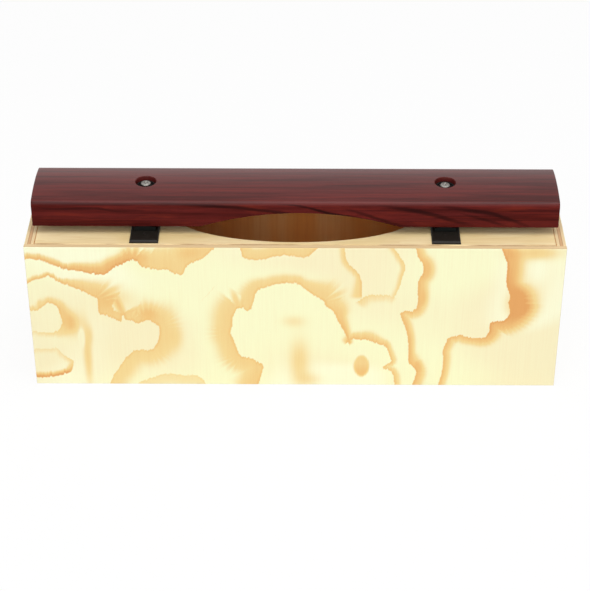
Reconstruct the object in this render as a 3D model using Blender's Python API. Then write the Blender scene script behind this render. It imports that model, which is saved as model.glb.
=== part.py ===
"""Chime bar: one tuned wooden bar on a plywood resonator box.

Metres, +Z up. The origin is on the surface that the box stands on, under its middle.
+X runs along the bar and -Y is the front. The bar lies on two crowned rests and is
held by a screw through an elastic bush at each of its two nodal points.
"""

import math

import bmesh
import bpy

# Gaps
SEAT_GAP = 0.0003
SLIDE_GAP = 0.0004
CUT_EXTRA = 0.002

# Resonator box
BOX_LENGTH = 0.4565
BOX_DEPTH = 0.102
BOX_HEIGHT = 0.1435
FACE_PANEL_THICKNESS = 0.005
END_PANEL_THICKNESS = 0.0082
TOP_BOARD_THICKNESS = 0.008
BOTTOM_BOARD_THICKNESS = 0.005
PANEL_EDGE_EASE = 0.0004
SOUND_HOLE_TO_PLATE = 0.0133
SOUND_HOLE_TO_PANEL = 0.005
SOUND_HOLE_EASE = 0.0006

# Bar
BAR_LENGTH = 0.445
BAR_WIDTH = 0.060
BAR_THICKNESS = 0.027
BAR_CROWN_RADIUS = 0.126
BAR_EDGE_RADIUS = 0.005
BAR_LOWER_EASE = 0.001
BAR_END_EASE = 0.0007
NODE_SPACING = 0.255
ARCH_LENGTH = 0.169
ARCH_HEIGHT = 0.0135
ARCH_OFFSET = 0.0044

# Supports on the two nodal lines
PLATE_WIDTH = 0.0245
PLATE_THICKNESS = 0.0024
PLATE_SETBACK = 0.0065
PLATE_EDGE_RADIUS = 0.0018
REST_HEIGHT = 0.0043
REST_CROWN = 0.0013
REST_SHOULDER = 0.0033
REST_SETBACK = 0.0015
BATTEN_WIDTH = 0.024
BATTEN_HEIGHT = 0.014

# Bar screws and bushes
SCREW_SHANK_DIAMETER = 0.0048
SCREW_HEAD_DIAMETER = 0.0085
SCREW_HEAD_RIM = 0.0017
SCREW_HEAD_DOME = 0.0012
SCREW_TIP_TAPER = 0.005
SCREW_TIP_COVER = 0.003
RECESS_SPAN = 0.0046
RECESS_SLOT = 0.0011
RECESS_DEPTH = 0.0017
RECESS_FLOOR_SHARE = 0.5
LEFT_HEAD_DEPTH = 0.0022
RIGHT_HEAD_DEPTH = 0.0030
BAR_LIFT = 0.001
COUNTERBORE_DIAMETER = 0.0176
BAR_BORE_DIAMETER = 0.012
BUSH_FLANGE_THICKNESS = 0.0027
BUSH_LIP_HEIGHT = 0.0018
BUSH_LIP_WALL = 0.0014
BUSH_END_SETBACK = 0.0005

# Plate nails
NAIL_SHANK_DIAMETER = 0.0016
NAIL_HEAD_DIAMETER = 0.0032
NAIL_HEAD_THICKNESS = 0.0008
NAIL_TIP_TAPER = 0.0015
NAIL_TIP_COVER = 0.0012
NAIL_SHARE = 0.29

# Facets
CROWN_STEPS = 12
EDGE_STEPS = 5
ARCH_STEPS = 28
OVAL_STEPS = 72
REST_STEPS = 8
ROUND_STEPS = 24
WIDE_ROUND_STEPS = 32
NAIL_STEPS = 12
DOME_STEPS = 4

# Places worked out from the sizes
FACE_INNER_Y = BOX_DEPTH / 2 - FACE_PANEL_THICKNESS
END_INNER_X = BOX_LENGTH / 2 - END_PANEL_THICKNESS
TOP_BOARD_UNDERSIDE = BOX_HEIGHT - TOP_BOARD_THICKNESS
BATTEN_TOP = TOP_BOARD_UNDERSIDE - SEAT_GAP
BATTEN_UNDERSIDE = BATTEN_TOP - BATTEN_HEIGHT
PLATE_UNDERSIDE = BOX_HEIGHT + SEAT_GAP
PLATE_TOP = PLATE_UNDERSIDE + PLATE_THICKNESS
PLATE_HALF_LENGTH = BOX_DEPTH / 2 - PLATE_SETBACK
REST_UNDERSIDE = PLATE_TOP + SEAT_GAP
REST_TOP = REST_UNDERSIDE + REST_HEIGHT
REST_HALF_LENGTH = BAR_WIDTH / 2 - REST_SETBACK
REST_WIDTH = PLATE_WIDTH - 2 * REST_SHOULDER
BAR_UNDERSIDE = REST_TOP + SEAT_GAP
BAR_TOP = BAR_UNDERSIDE + BAR_THICKNESS
HOLE_HALF_LENGTH = NODE_SPACING / 2 - PLATE_WIDTH / 2 - SOUND_HOLE_TO_PLATE
HOLE_HALF_WIDTH = FACE_INNER_Y - SOUND_HOLE_TO_PANEL
SHANK_RADIUS = SCREW_SHANK_DIAMETER / 2
HEAD_RADIUS = SCREW_HEAD_DIAMETER / 2
DEEPEST_HEAD = max(LEFT_HEAD_DEPTH, RIGHT_HEAD_DEPTH)
BUSH_FLOOR_Z = BAR_TOP - DEEPEST_HEAD - SCREW_HEAD_RIM - SEAT_GAP - BAR_LIFT
COUNTERBORE_FLOOR_Z = BUSH_FLOOR_Z - BUSH_FLANGE_THICKNESS - SEAT_GAP
LOWEST_TIP_Z = BATTEN_UNDERSIDE + SCREW_TIP_COVER
SCREW_LENGTH = BAR_TOP - DEEPEST_HEAD - SCREW_HEAD_RIM - LOWEST_TIP_Z
NAIL_Y = REST_HALF_LENGTH + NAIL_SHARE * (PLATE_HALF_LENGTH - REST_HALF_LENGTH)
NAIL_TIP_Z = TOP_BOARD_UNDERSIDE + NAIL_TIP_COVER
NAIL_RADIUS = NAIL_SHANK_DIAMETER / 2
NAIL_HEAD_RADIUS = NAIL_HEAD_DIAMETER / 2

# The name of each side, its direction along X and how deep its screw head lies
SIDES = (("left", -1, LEFT_HEAD_DEPTH), ("right", 1, RIGHT_HEAD_DEPTH))
ENDS = (("front", -1), ("back", 1))


def clear_scene():
    for item in list(bpy.data.objects):
        bpy.data.objects.remove(item, do_unlink=True)


def finish(name, red, green, blue, roughness, metallic=0.0):
    """A plain material with the piece's colour."""
    material = bpy.data.materials.new(name)
    material.use_nodes = True
    shader = material.node_tree.nodes["Principled BSDF"]
    shader.inputs["Base Color"].default_value = (red, green, blue, 1.0)
    shader.inputs["Roughness"].default_value = roughness
    shader.inputs["Metallic"].default_value = metallic
    return material


def put_in_scene(name, shape, material=None, smooth=False):
    """Close the mesh of a bmesh, turn its faces outwards and add it as an object."""
    bmesh.ops.recalc_face_normals(shape, faces=shape.faces)
    mesh = bpy.data.meshes.new(name)
    shape.to_mesh(mesh)
    shape.free()
    if smooth:
        mesh.shade_smooth()
        mesh.set_sharp_from_angle(angle=math.radians(35))
    if material:
        mesh.materials.append(material)
    item = bpy.data.objects.new(name, mesh)
    bpy.context.collection.objects.link(item)
    return item


def loft(name, rings, material=None, smooth=False):
    """Join rings of equally many points into a closed solid with flat ends."""
    shape = bmesh.new()
    rows = [[shape.verts.new(point) for point in ring] for ring in rings]
    count = len(rings[0])
    for lower, upper in zip(rows, rows[1:]):
        for i in range(count):
            j = (i + 1) % count
            shape.faces.new((lower[i], lower[j], upper[j], upper[i]))
    shape.faces.new(rows[0])
    shape.faces.new(rows[-1])
    return put_in_scene(name, shape, material, smooth)


def turned(name, profile, place, steps, material=None, closed=False):
    """Turn (radius, height) points round the vertical through place = (x, y).

    An open profile starts and ends on the axis. A closed one leaves a bore.
    """
    shape = bmesh.new()
    rings = []
    for radius, height in profile:
        if radius == 0:
            rings.append([shape.verts.new((place[0], place[1], height))])
            continue
        ring = []
        for i in range(steps):
            angle = 2 * math.pi * (i + 0.5) / steps
            x = place[0] + radius * math.cos(angle)
            y = place[1] + radius * math.sin(angle)
            ring.append(shape.verts.new((x, y, height)))
        rings.append(ring)
    pairs = list(zip(rings, rings[1:]))
    if closed:
        pairs.append((rings[-1], rings[0]))
    for first, second in pairs:
        for i in range(steps):
            j = (i + 1) % steps
            corners = [first[i % len(first)], first[j % len(first)]]
            corners += [second[j % len(second)], second[i % len(second)]]
            shape.faces.new(list(dict.fromkeys(corners)))
    return put_in_scene(name, shape, material, smooth=True)


def block(low, high):
    """The mesh of a plain block between two corners."""
    shape = bmesh.new()
    bmesh.ops.create_cube(shape, size=1.0)
    for vert in shape.verts:
        for axis in range(3):
            vert.co[axis] = high[axis] if vert.co[axis] > 0 else low[axis]
    return shape


def board(name, low, high, material):
    """A flat board between two corners, with its edges eased."""
    shape = block(low, high)
    bmesh.ops.bevel(shape, geom=shape.edges[:], offset=PANEL_EDGE_EASE, segments=1, affect="EDGES")
    return put_in_scene(name, shape, material)


def cut(target, cutter):
    """Take the cutter's shape out of the target."""
    cutter.hide_render = True
    cutter.display_type = "WIRE"
    modifier = target.modifiers.new(cutter.name, "BOOLEAN")
    modifier.operation = "DIFFERENCE"
    modifier.solver = "EXACT"
    modifier.object = cutter


def oval(half_length, half_width, height, steps):
    """A level ring of points on an ellipse about the origin's vertical."""
    ring = []
    for i in range(steps):
        angle = 2 * math.pi * i / steps
        ring.append((half_length * math.cos(angle), half_width * math.sin(angle), height))
    return ring


def box_panels(plywood, solid_wood):
    """The six walls. The face panels cover the ends, and the boards lie between all four."""
    half_x = BOX_LENGTH / 2
    half_y = BOX_DEPTH / 2
    between_y = FACE_INNER_Y - SEAT_GAP
    between_x = END_INNER_X - SEAT_GAP
    board("front_panel", (-half_x, -half_y, 0), (half_x, -FACE_INNER_Y, BOX_HEIGHT), plywood)
    board("back_panel", (-half_x, FACE_INNER_Y, 0), (half_x, half_y, BOX_HEIGHT), plywood)
    board("left_end_panel", (-half_x, -between_y, 0), (-END_INNER_X, between_y, BOX_HEIGHT), plywood)
    board("right_end_panel", (END_INNER_X, -between_y, 0), (half_x, between_y, BOX_HEIGHT), plywood)
    board(
        "bottom_board",
        (-between_x, -between_y, 0),
        (between_x, between_y, BOTTOM_BOARD_THICKNESS),
        plywood,
    )
    return board(
        "top_board",
        (-between_x, -between_y, TOP_BOARD_UNDERSIDE),
        (between_x, between_y, BOX_HEIGHT),
        solid_wood,
    )


def sound_hole_cutter():
    """An upright oval, flared where it leaves each face so that the rim is eased."""
    above = BOX_HEIGHT + CUT_EXTRA
    below = TOP_BOARD_UNDERSIDE - CUT_EXTRA
    levels = (
        (below, SOUND_HOLE_EASE + CUT_EXTRA),
        (TOP_BOARD_UNDERSIDE + SOUND_HOLE_EASE, 0),
        (BOX_HEIGHT - SOUND_HOLE_EASE, 0),
        (above, SOUND_HOLE_EASE + CUT_EXTRA),
    )
    rings = []
    for height, flare in levels:
        rings.append(oval(HOLE_HALF_LENGTH + flare, HOLE_HALF_WIDTH + flare, height, OVAL_STEPS))
    return loft("sound_hole_cutter", rings)


def arc_points(centre, radius, start, end, steps):
    """Points on an arc in the plane of the bar's section, angles from the +Y axis."""
    points = []
    for i in range(steps + 1):
        angle = start + (end - start) * i / steps
        points.append((centre[0] + radius * math.cos(angle), centre[1] + radius * math.sin(angle)))
    return points


def bar_section(inset):
    """The bar's outline across its length, drawn in by inset: (y, z) points.

    The sides are upright. A small arc rounds each upper edge and runs smoothly into
    the shallow arc of the crown. The lower edges are eased.
    """
    half = BAR_WIDTH / 2 - inset
    top = BAR_TOP - inset
    bottom = BAR_UNDERSIDE + inset
    edge = BAR_EDGE_RADIUS
    crown = BAR_CROWN_RADIUS - inset
    crown_centre = top - crown
    edge_y = half - edge
    edge_z = crown_centre + math.sqrt((crown - edge) ** 2 - edge_y ** 2)
    meet = math.atan2(edge_z - crown_centre, edge_y)
    right = arc_points((edge_y, edge_z), edge, 0, meet, EDGE_STEPS)
    over = arc_points((0, crown_centre), crown, meet, math.pi - meet, CROWN_STEPS)
    left = [(-y, z) for y, z in reversed(right)]
    lower = [
        (-half, bottom + BAR_LOWER_EASE),
        (-half + BAR_LOWER_EASE, bottom),
        (half - BAR_LOWER_EASE, bottom),
        (half, bottom + BAR_LOWER_EASE),
    ]
    return right + over[1:-1] + left + lower


def arch_cutter():
    """A lens under the bar: a shallow arc across the bar, worked out from its chord and rise."""
    half = ARCH_LENGTH / 2
    radius = (half ** 2 + ARCH_HEIGHT ** 2) / (2 * ARCH_HEIGHT)
    centre_z = BAR_UNDERSIDE + ARCH_HEIGHT - radius
    reach = math.asin(half / radius)
    outline = []
    for i in range(ARCH_STEPS + 1):
        angle = reach * (2 * i / ARCH_STEPS - 1)
        outline.append((ARCH_OFFSET + radius * math.sin(angle), centre_z + radius * math.cos(angle)))
    outline.append((ARCH_OFFSET + half, BAR_UNDERSIDE - CUT_EXTRA))
    outline.append((ARCH_OFFSET - half, BAR_UNDERSIDE - CUT_EXTRA))
    side = BAR_WIDTH / 2 + CUT_EXTRA
    return loft("arch_cutter", [[(x, y, z) for x, z in outline] for y in (-side, side)])


def sound_bar(rosewood):
    """The crowned bar, hollowed to pitch from below and bored at its nodal points."""
    half = BAR_LENGTH / 2
    stations = (
        (-half, BAR_END_EASE),
        (-half + BAR_END_EASE, 0),
        (half - BAR_END_EASE, 0),
        (half, BAR_END_EASE),
    )
    rings = [[(x, y, z) for y, z in bar_section(inset)] for x, inset in stations]
    bar = loft("sound_bar", rings, rosewood, smooth=True)
    cut(bar, arch_cutter())
    for side, direction, _ in SIDES:
        profile = [
            (0, BAR_TOP + CUT_EXTRA),
            (COUNTERBORE_DIAMETER / 2, BAR_TOP + CUT_EXTRA),
            (COUNTERBORE_DIAMETER / 2, COUNTERBORE_FLOOR_Z),
            (BAR_BORE_DIAMETER / 2, COUNTERBORE_FLOOR_Z),
            (BAR_BORE_DIAMETER / 2, BAR_UNDERSIDE - CUT_EXTRA),
            (0, BAR_UNDERSIDE - CUT_EXTRA),
        ]
        place = (direction * NODE_SPACING / 2, 0)
        cut(bar, turned(side + "_bar_hole_cutter", profile, place, WIDE_ROUND_STEPS))
    return bar


def bush(side, direction, rubber):
    """A flanged elastic bush: a lip stands round its floor, and a sleeve goes down the bore."""
    outer = COUNTERBORE_DIAMETER / 2 - SEAT_GAP
    sleeve = BAR_BORE_DIAMETER / 2 - SEAT_GAP
    inner = SHANK_RADIUS + SLIDE_GAP
    flange_under = BUSH_FLOOR_Z - BUSH_FLANGE_THICKNESS
    lip_top = BUSH_FLOOR_Z + BUSH_LIP_HEIGHT
    lip_inner = outer - BUSH_LIP_WALL
    profile = [
        (outer, lip_top),
        (outer, flange_under),
        (sleeve, flange_under),
        (sleeve, BAR_UNDERSIDE + BUSH_END_SETBACK),
        (inner, BAR_UNDERSIDE + BUSH_END_SETBACK),
        (inner, BUSH_FLOOR_Z),
        (lip_inner, BUSH_FLOOR_Z),
        (lip_inner, lip_top),
    ]
    place = (direction * NODE_SPACING / 2, 0)
    return turned(side + "_bush", profile, place, WIDE_ROUND_STEPS, rubber, closed=True)


def cross_ring(centre_x, half_span, half_slot, height):
    """The twelve corners of an upright cross at one height."""
    corners = []
    for quarter in range(4):
        turn = quarter * math.pi / 2
        for along, across in ((half_slot, half_slot), (half_span, half_slot), (half_span, -half_slot)):
            # The next arm starts where this one ends
            x = along * math.cos(-turn) - across * math.sin(-turn)
            y = along * math.sin(-turn) + across * math.cos(-turn)
            corners.append((centre_x + x, y, height))
    return corners


def bar_screw(side, direction, head_depth, steel):
    """A pan-head wood screw with a tapered cross recess."""
    rim_top = BAR_TOP - head_depth
    under = rim_top - SCREW_HEAD_RIM
    tip = under - SCREW_LENGTH
    profile = []
    for i in range(DOME_STEPS + 1):
        angle = math.pi / 2 * i / DOME_STEPS
        profile.append((HEAD_RADIUS * math.sin(angle), rim_top + SCREW_HEAD_DOME * math.cos(angle)))
    profile[0] = (0, rim_top + SCREW_HEAD_DOME)
    profile += [
        (HEAD_RADIUS, under),
        (SHANK_RADIUS, under),
        (SHANK_RADIUS, tip + SCREW_TIP_TAPER),
        (0, tip),
    ]
    x = direction * NODE_SPACING / 2
    screw = turned(side + "_bar_screw", profile, (x, 0), ROUND_STEPS, steel)
    top = rim_top + SCREW_HEAD_DOME
    half_span = RECESS_SPAN / 2
    half_slot = RECESS_SLOT / 2
    rings = [
        cross_ring(x, half_span, half_slot, top + CUT_EXTRA),
        cross_ring(x, half_span, half_slot, top - SCREW_HEAD_DOME / 2),
        cross_ring(x, half_span * RECESS_FLOOR_SHARE, half_slot * RECESS_FLOOR_SHARE, top - RECESS_DEPTH),
    ]
    cut(screw, loft(side + "_recess_cutter", rings))
    return screw


def support_plate(side, direction, plastic):
    """A flat moulded plate across the top board, with rounded upper edges."""
    x = direction * NODE_SPACING / 2
    low = (x - PLATE_WIDTH / 2, -PLATE_HALF_LENGTH, PLATE_UNDERSIDE)
    high = (x + PLATE_WIDTH / 2, PLATE_HALF_LENGTH, PLATE_TOP)
    shape = block(low, high)
    top = max(vert.co.z for vert in shape.verts)
    upper = [edge for edge in shape.edges if min(vert.co.z for vert in edge.verts) == top]
    bmesh.ops.bevel(shape, geom=upper, offset=PLATE_EDGE_RADIUS, segments=3, profile=0.5, affect="EDGES")
    return put_in_scene(side + "_support_plate", shape, plastic)


def bar_rest(side, direction, rubber):
    """A crowned strip across the bar's width: the bar touches it only along its middle."""
    x = direction * NODE_SPACING / 2
    half = REST_WIDTH / 2
    radius = (half ** 2 + REST_CROWN ** 2) / (2 * REST_CROWN)
    reach = math.asin(half / radius)
    outline = []
    for i in range(REST_STEPS + 1):
        angle = reach * (2 * i / REST_STEPS - 1)
        height = REST_TOP - radius + radius * math.cos(angle)
        outline.append((x + radius * math.sin(angle), height))
    outline.append((x + half, REST_UNDERSIDE))
    outline.append((x - half, REST_UNDERSIDE))
    rings = [[(px, y, pz) for px, pz in outline] for y in (-REST_HALF_LENGTH, REST_HALF_LENGTH)]
    return loft(side + "_bar_rest", rings, rubber)


def screw_batten(side, direction, solid_wood):
    """A strip under the top board, from panel to panel, for the screw to bite."""
    x = direction * NODE_SPACING / 2
    reach = FACE_INNER_Y - SEAT_GAP
    low = (x - BATTEN_WIDTH / 2, -reach, BATTEN_UNDERSIDE)
    high = (x + BATTEN_WIDTH / 2, reach, BATTEN_TOP)
    return board(side + "_screw_batten", low, high, solid_wood)


def screw_drill(side, direction, head_depth):
    """The clearance hole that the screw takes through everything under the bar."""
    tip = BAR_TOP - head_depth - SCREW_HEAD_RIM - SCREW_LENGTH
    radius = SHANK_RADIUS + SEAT_GAP
    profile = [
        (0, BAR_UNDERSIDE),
        (radius, BAR_UNDERSIDE),
        (radius, tip - SEAT_GAP),
        (0, tip - SEAT_GAP),
    ]
    return turned(side + "_screw_drill", profile, (direction * NODE_SPACING / 2, 0), ROUND_STEPS)


def nail_profile(gap):
    """A flat-headed nail sunk flush with the plate, grown by gap to make its hole."""
    head = NAIL_HEAD_RADIUS + gap
    shank = NAIL_RADIUS + gap
    top = PLATE_TOP + (CUT_EXTRA if gap else 0)
    under = PLATE_TOP - NAIL_HEAD_THICKNESS - gap
    taper = NAIL_TIP_Z + NAIL_TIP_TAPER - gap
    return [(0, top), (head, top), (head, under), (shank, under), (shank, taper), (0, NAIL_TIP_Z - gap)]


def supports(top, plastic, rubber, solid_wood, steel):
    """Everything on the two nodal lines but the bar and its bushes."""
    for side, direction, head_depth in SIDES:
        plate = support_plate(side, direction, plastic)
        rest = bar_rest(side, direction, rubber)
        batten = screw_batten(side, direction, solid_wood)
        drill = screw_drill(side, direction, head_depth)
        for piece in (plate, rest, top, batten):
            cut(piece, drill)
        for end, along in ENDS:
            place = (direction * NODE_SPACING / 2, along * NAIL_Y)
            name = side + "_" + end + "_nail"
            turned(name, nail_profile(0), place, NAIL_STEPS, steel)
            hole = turned(name + "_hole_cutter", nail_profile(SEAT_GAP), place, NAIL_STEPS)
            cut(plate, hole)
            cut(top, hole)
        bar_screw(side, direction, head_depth, steel)


def main():
    clear_scene()
    plywood = finish("pine_plywood", 0.90, 0.80, 0.52, 0.55)
    solid_wood = finish("pine_board", 0.80, 0.62, 0.36, 0.60)
    rosewood = finish("rosewood", 0.19, 0.030, 0.030, 0.35)
    plastic = finish("black_plastic", 0.020, 0.021, 0.022, 0.50)
    rubber = finish("black_rubber", 0.010, 0.011, 0.011, 0.80)
    steel = finish("screw_steel", 0.60, 0.58, 0.55, 0.35, metallic=1.0)

    top = box_panels(plywood, solid_wood)
    cut(top, sound_hole_cutter())
    supports(top, plastic, rubber, solid_wood, steel)

    # The bar and its bushes lift together along the vertical through the bar's middle
    lift = bpy.data.objects.new("bar_lift_axis", None)
    lift.location = (0, 0, BAR_UNDERSIDE)
    bpy.context.collection.objects.link(lift)
    moving = [sound_bar(rosewood)]
    for side, direction, _ in SIDES:
        moving.append(bush(side, direction, rubber))
    bpy.context.view_layer.update()
    for piece in moving:
        piece.parent = lift
        piece.matrix_parent_inverse = lift.matrix_world.inverted()


main()
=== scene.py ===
import math

import bpy
import numpy as np
from mathutils import Matrix, Vector


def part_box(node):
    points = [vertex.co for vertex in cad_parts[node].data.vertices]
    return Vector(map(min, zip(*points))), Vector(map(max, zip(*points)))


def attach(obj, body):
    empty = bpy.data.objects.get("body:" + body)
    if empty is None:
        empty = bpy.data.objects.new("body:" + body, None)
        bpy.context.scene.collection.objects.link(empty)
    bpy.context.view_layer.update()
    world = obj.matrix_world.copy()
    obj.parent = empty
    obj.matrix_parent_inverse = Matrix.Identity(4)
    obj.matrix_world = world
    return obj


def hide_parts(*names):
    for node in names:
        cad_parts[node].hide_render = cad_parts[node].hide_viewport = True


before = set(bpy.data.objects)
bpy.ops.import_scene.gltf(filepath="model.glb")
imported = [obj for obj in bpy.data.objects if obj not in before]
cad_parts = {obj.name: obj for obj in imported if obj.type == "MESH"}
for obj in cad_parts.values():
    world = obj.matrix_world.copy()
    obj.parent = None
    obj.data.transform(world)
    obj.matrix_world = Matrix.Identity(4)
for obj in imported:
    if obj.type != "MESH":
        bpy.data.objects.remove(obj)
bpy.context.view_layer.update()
print("stage: the frame is loaded")


def paint(red, green, blue):    # screen bytes 0 to 255 turned into a linear colour
    shades = np.array((red, green, blue)) / 255
    linear = np.where(shades > 0.04045, ((shades + 0.055) / 1.055) ** 2.4, shades / 12.92)
    return (*linear.tolist(), 1.0)


class Value:    # a shader socket that stands in a Python expression
    def __init__(self, finish, socket):
        self.finish = finish
        self.socket = socket

    def math(self, operation, *values):
        return self.finish.node("Math", {"operation": operation}, dict(enumerate(values)))

    def __add__(self, other):
        return self.math("ADD", self, other)

    def __radd__(self, other):
        return self.math("ADD", other, self)

    def __sub__(self, other):
        return self.math("SUBTRACT", self, other)

    def __rsub__(self, other):
        return self.math("SUBTRACT", other, self)

    def __mul__(self, other):
        return self.math("MULTIPLY", self, other)

    def __rmul__(self, other):
        return self.math("MULTIPLY", other, self)

    def __truediv__(self, other):
        return self.math("DIVIDE", self, other)

    def __rtruediv__(self, other):
        return self.math("DIVIDE", other, self)

    def __pow__(self, other):
        return self.math("POWER", self, other)

    def __neg__(self):
        return self.math("MULTIPLY", self, -1.0)

    def __abs__(self):
        return self.math("ABSOLUTE", self)

    def exp(self):
        return self.math("EXPONENT", self)

    def fraction(self):
        return self.math("FRACT", self)

    def larger(self, other):
        return self.math("MAXIMUM", self, other)

    def step(self, low, high):    # 0 below low, 1 above high, smooth between
        inputs = {"Value": self, "From Min": low, "From Max": high}
        return self.finish.node("MapRange", {"interpolation_type": "SMOOTHSTEP"}, inputs)


class Finish:    # one material, made node by node
    def __init__(self, name, **sockets):
        self.material = bpy.data.materials.new(name)
        self.material.use_nodes = True
        self.tree = self.material.node_tree
        self.surface = self.tree.nodes["Principled BSDF"]
        for socket, value in sockets.items():
            self.surface.inputs[socket.replace("_", " ")].default_value = value

    def node(self, kind, settings=None, inputs=None, output=0):
        made = self.tree.nodes.new("ShaderNode" + kind)
        for name, value in (settings or {}).items():
            setattr(made, name, value)
        for key, value in (inputs or {}).items():
            if isinstance(value, Value):
                self.tree.links.new(value.socket, made.inputs[key])
            else:
                made.inputs[key].default_value = value
        return Value(self, made.outputs[output])

    def place(self):    # where a point lies on the object, in millimetres
        point = self.node("TexCoord", output="Object")
        return self.split(self.node("VectorMath", {"operation": "SCALE"}, {0: point, "Scale": 1000.0}))

    def attribute(self, name, output="Vector"):
        return self.node("Attribute", {"attribute_name": name}, output=output)

    def split(self, vector):
        return [self.node("SeparateXYZ", inputs={0: vector}, output=axis) for axis in range(3)]

    def noise(self, x, y, z, detail=2.0, roughness=0.5):    # soft noise from about 0.2 to 0.8
        point = self.node("CombineXYZ", inputs={0: x, 1: y, 2: z})
        inputs = {"Vector": point, "Scale": 1.0, "Detail": detail, "Roughness": roughness}
        return self.node("TexNoise", {"noise_dimensions": "3D"}, inputs)

    def mix(self, factor, first, second, blend="MIX"):
        settings = {"data_type": "RGBA", "blend_type": blend}
        return self.node("Mix", settings, {0: factor, 6: first, 7: second}, output=2)

    def feed(self, socket, value):
        self.tree.links.new(value.socket, self.surface.inputs[socket])

    def bump(self, height, depth):    # depth in metres
        inputs = {"Strength": 1.0, "Distance": depth, "Height": height}
        self.feed("Normal", self.node("Bump", inputs=inputs))


def shadeSmooth(mesh, sharpAngle=35):    # smooth but for edges above this angle, in degrees
    mesh.shade_smooth()
    mesh.set_sharp_from_angle(angle=math.radians(sharpAngle))


def newMesh(name, points, faces):
    mesh = bpy.data.meshes.new(name)
    mesh.from_pydata(points, [], faces)
    mesh.update()
    return mesh


def newObject(name, data):    # an object with this mesh, lamp or camera, in the scene
    made = bpy.data.objects.new(name, data)
    bpy.context.scene.collection.objects.link(made)
    return made


def addPiece(name, shape, finish, body, smooth=True):    # shape is points and faces
    mesh = newMesh(name, *shape)
    if smooth:
        shadeSmooth(mesh)
    mesh.materials.append(finish.material)
    piece = newObject(name, mesh)
    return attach(piece, body)


def pointsOf(mesh):    # a mesh's points as one array
    flat = np.empty(len(mesh.vertices) * 3, np.float32)
    mesh.vertices.foreach_get("co", flat)
    return flat.reshape(-1, 3).astype(float)


def addField(mesh, name, values):    # an attribute of one or three numbers at each point
    kind = "FLOAT" if values.ndim == 1 else "FLOAT_VECTOR"
    key = "value" if values.ndim == 1 else "vector"
    attribute = mesh.attributes.new(name, kind, "POINT")
    attribute.data.foreach_set(key, values.astype(np.float32).ravel())


def ringFaces(ringCount, ringSize, wrapped=False):
    # Quads from each closed ring to the next, and from the last to the first if wrapped, or else flat ends
    i = np.arange(ringCount if wrapped else ringCount - 1)[:, None] * ringSize
    after = (i + ringSize) % (ringCount * ringSize)
    j = np.arange(ringSize)[None, :]
    k = (j + 1) % ringSize
    faces = np.stack([i + j, i + k, after + k, after + j], axis=-1).reshape(-1, 4).tolist()
    if not wrapped:
        faces.append(list(range(ringSize))[::-1])
        faces.append(list(range((ringCount - 1) * ringSize, ringCount * ringSize)))
    return faces


def turnedSurface(radii, heights, steps, centre, closed=False):
    # Each profile point goes round the upright axis: x = r cos a, y = r sin a. r may differ at each angle
    angles = np.linspace(0, 2 * math.pi, steps, endpoint=False)
    radii = np.asarray(radii, float)
    radii = radii if radii.ndim == 2 else np.repeat(radii[:, None], steps, axis=1)
    heights = np.repeat(np.asarray(heights, float)[:, None], steps, axis=1)
    x = centre[0] + radii * np.cos(angles)
    y = centre[1] + radii * np.sin(angles)
    points = np.stack([x, y, heights], axis=-1).reshape(-1, 3)
    return points, ringFaces(len(radii), steps, wrapped=closed)


def curveThrough(points, spacing=1.5):
    # Catmull-Rom: each stretch is a cubic through its two points, with slopes set by their neighbours. It is
    # returned as points this far apart
    given = np.asarray(points, float)
    padded = np.vstack([2 * given[0] - given[1], given, 2 * given[-1] - given[-2]])
    samples = []
    for p0, p1, p2, p3 in zip(padded, padded[1:], padded[2:], padded[3:]):
        count = max(2, round(float(np.linalg.norm(p2 - p1)) / spacing))
        t = (np.arange(count) / count)[:, None]
        cubic = 2 * p1 + (p2 - p0) * t + (2 * p0 - 5 * p1 + 4 * p2 - p3) * t ** 2
        samples.append((cubic + (3 * p1 - p0 - 3 * p2 + p3) * t ** 3) / 2)
    samples.append(given[-1:])
    return np.vstack(samples)


def nearestOn(curve, across, down, sliceSize=8000):
    # For each point: signed distance to the curve, positive on its left, share of the way along, the
    # downward part of the direction in which that distance grows, and how far it lies past an end. A slice
    # of the points is worked out at a time, to spare memory
    ahead = np.gradient(curve, axis=0)
    ahead /= np.linalg.norm(ahead, axis=1, keepdims=True)
    left = np.stack([ahead[:, 1], -ahead[:, 0]], axis=1)
    walked = np.concatenate([[0], np.cumsum(np.linalg.norm(np.diff(curve, axis=0), axis=1))])
    distance = np.empty(across.shape)
    share = np.empty(across.shape)
    slope = np.empty(across.shape)
    past = np.empty(across.shape)
    for start in range(0, len(across), sliceSize):
        part = slice(start, start + sliceSize)
        dx = across[part, None] - curve[None, :, 0]
        dy = down[part, None] - curve[None, :, 1]
        square = dx ** 2 + dy ** 2
        best = square.argmin(axis=1)
        row = np.arange(len(best))
        side = dx[row, best] * left[best, 0] + dy[row, best] * left[best, 1]
        distance[part] = np.where(side < 0, -1, 1) * np.sqrt(square[row, best])
        share[part] = walked[best] / walked[-1]
        slope[part] = left[best, 1]
        past[part] = np.abs(dx[row, best] * ahead[best, 0] + dy[row, best] * ahead[best, 1])
    return distance, share, slope, past


def along(stops, share):    # a value given at a few shares of a line
    return np.interp(share, [stop[0] for stop in stops], [stop[1] for stop in stops])


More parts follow.
